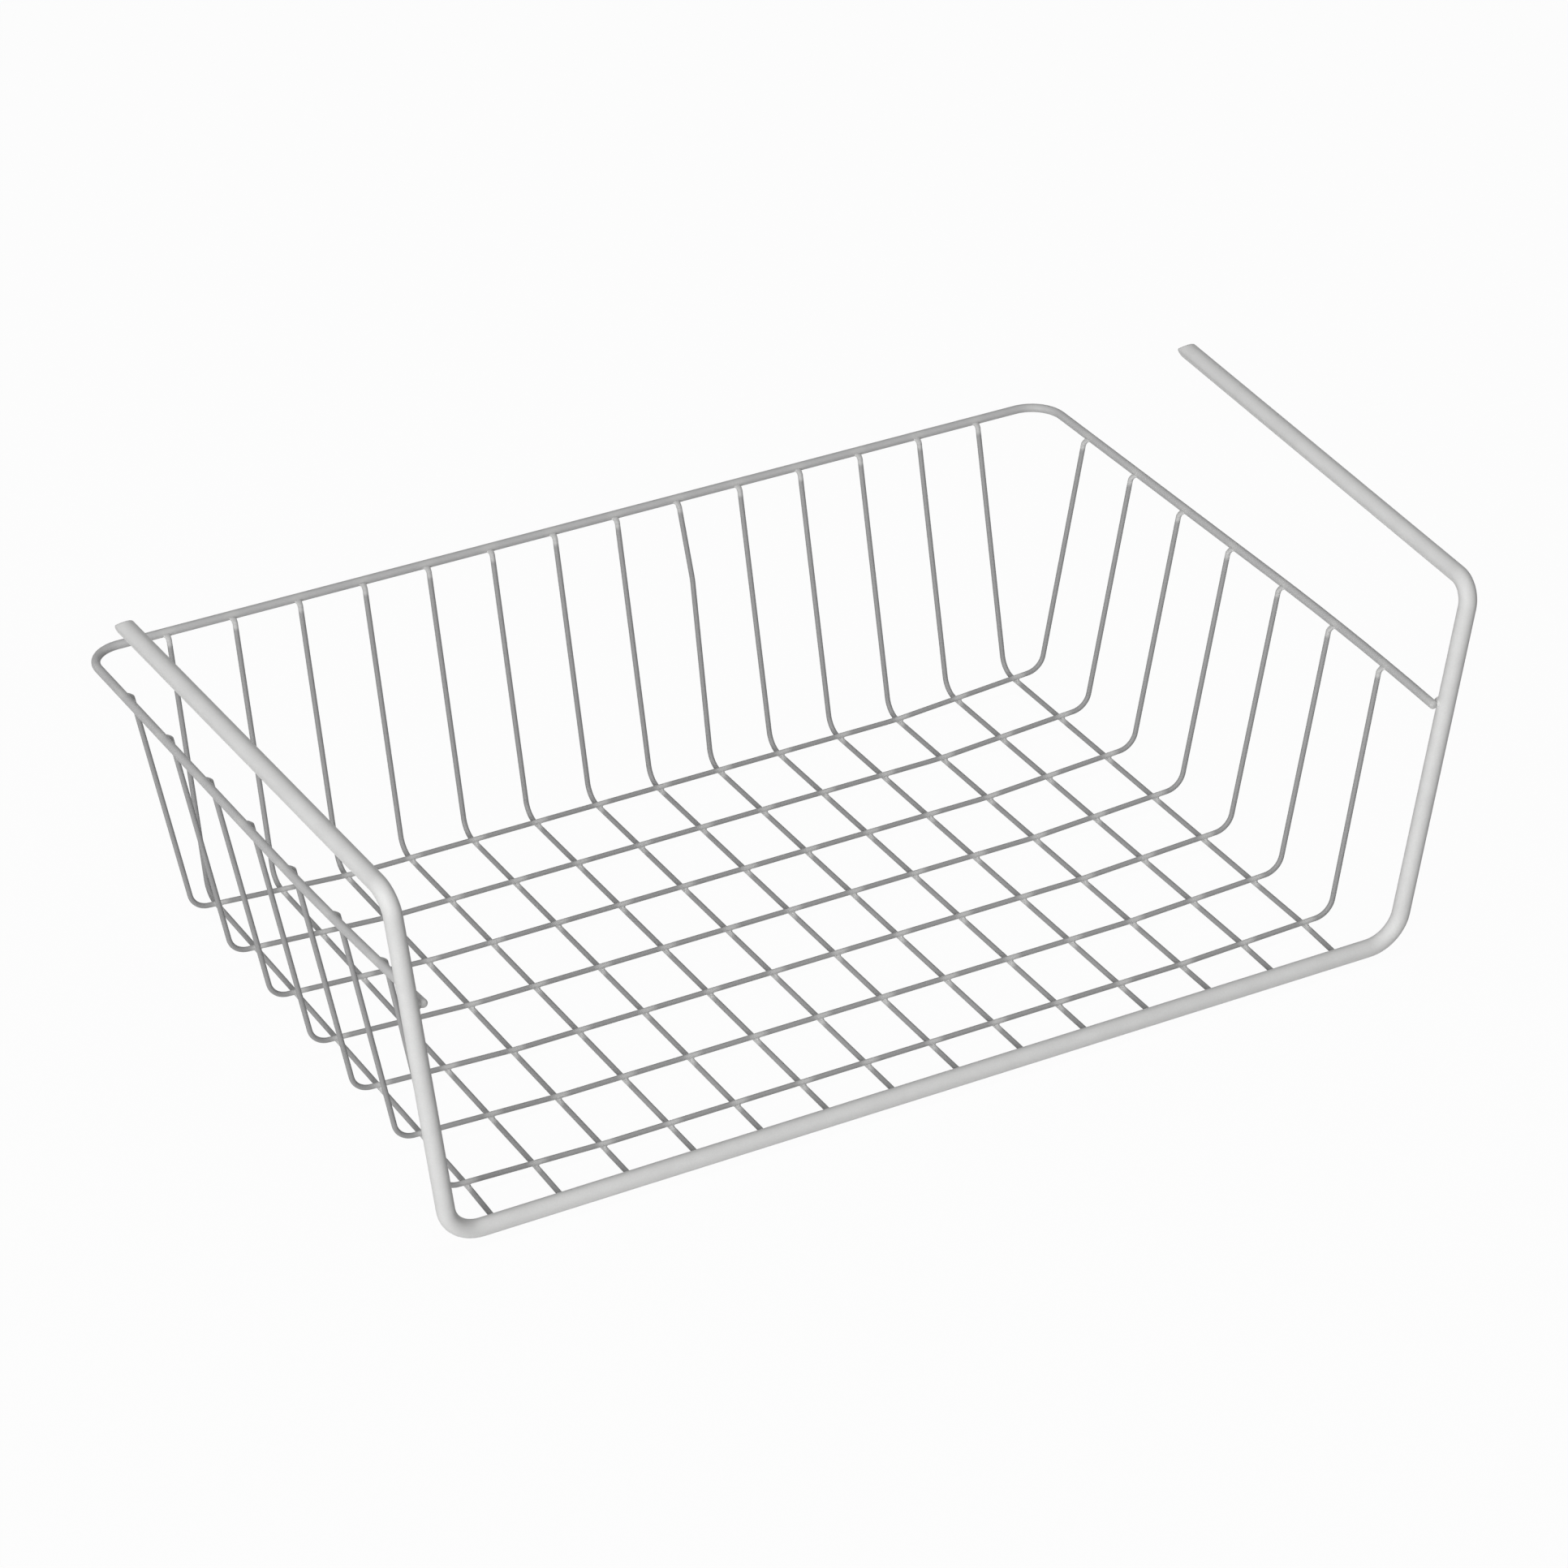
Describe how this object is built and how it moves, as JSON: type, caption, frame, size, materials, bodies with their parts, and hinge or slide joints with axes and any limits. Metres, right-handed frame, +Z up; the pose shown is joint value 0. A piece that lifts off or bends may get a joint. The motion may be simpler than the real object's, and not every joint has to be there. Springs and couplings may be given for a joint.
{
  "type": "under shelf basket",
  "caption": "Open wire basket with two long arms that slide over a shelf board, so that it hangs below the board, bent and welded from pale grey coated wire.",
  "frame": {"origin": "under the middle of the basket's bounding box, at the height of the lowest wires' undersides", "axes": "+X along the front bar to the right as seen from the front, +Y from the open front to the back wall, +Z up towards the shelf"},
  "size_m": [0.4026, 0.257, 0.1462],
  "materials": {
    "frame_coat": "satin",
    "rim_coat": "satin",
    "grid_coat": "satin"
  },
  "bodies": {
    "root": {"frame_wire": "frame_coat", "rim_wire": "rim_coat", "cross_wire_01": "grid_coat", "cross_wire_02": "grid_coat", "cross_wire_03": "grid_coat", "cross_wire_04": "grid_coat", "cross_wire_05": "grid_coat", "cross_wire_06": "grid_coat", "cross_wire_07": "grid_coat", "cross_wire_08": "grid_coat", "cross_wire_09": "grid_coat", "cross_wire_10": "grid_coat", "cross_wire_11": "grid_coat", "cross_wire_12": "grid_coat", "cross_wire_13": "grid_coat", "cross_wire_14": "grid_coat", "long_wire_1": "grid_coat", "long_wire_2": "grid_coat", "long_wire_3": "grid_coat", "long_wire_4": "grid_coat", "long_wire_5": "grid_coat", "long_wire_6": "grid_coat", "long_wire_7": "grid_coat"}
  },
  "joints": []
}
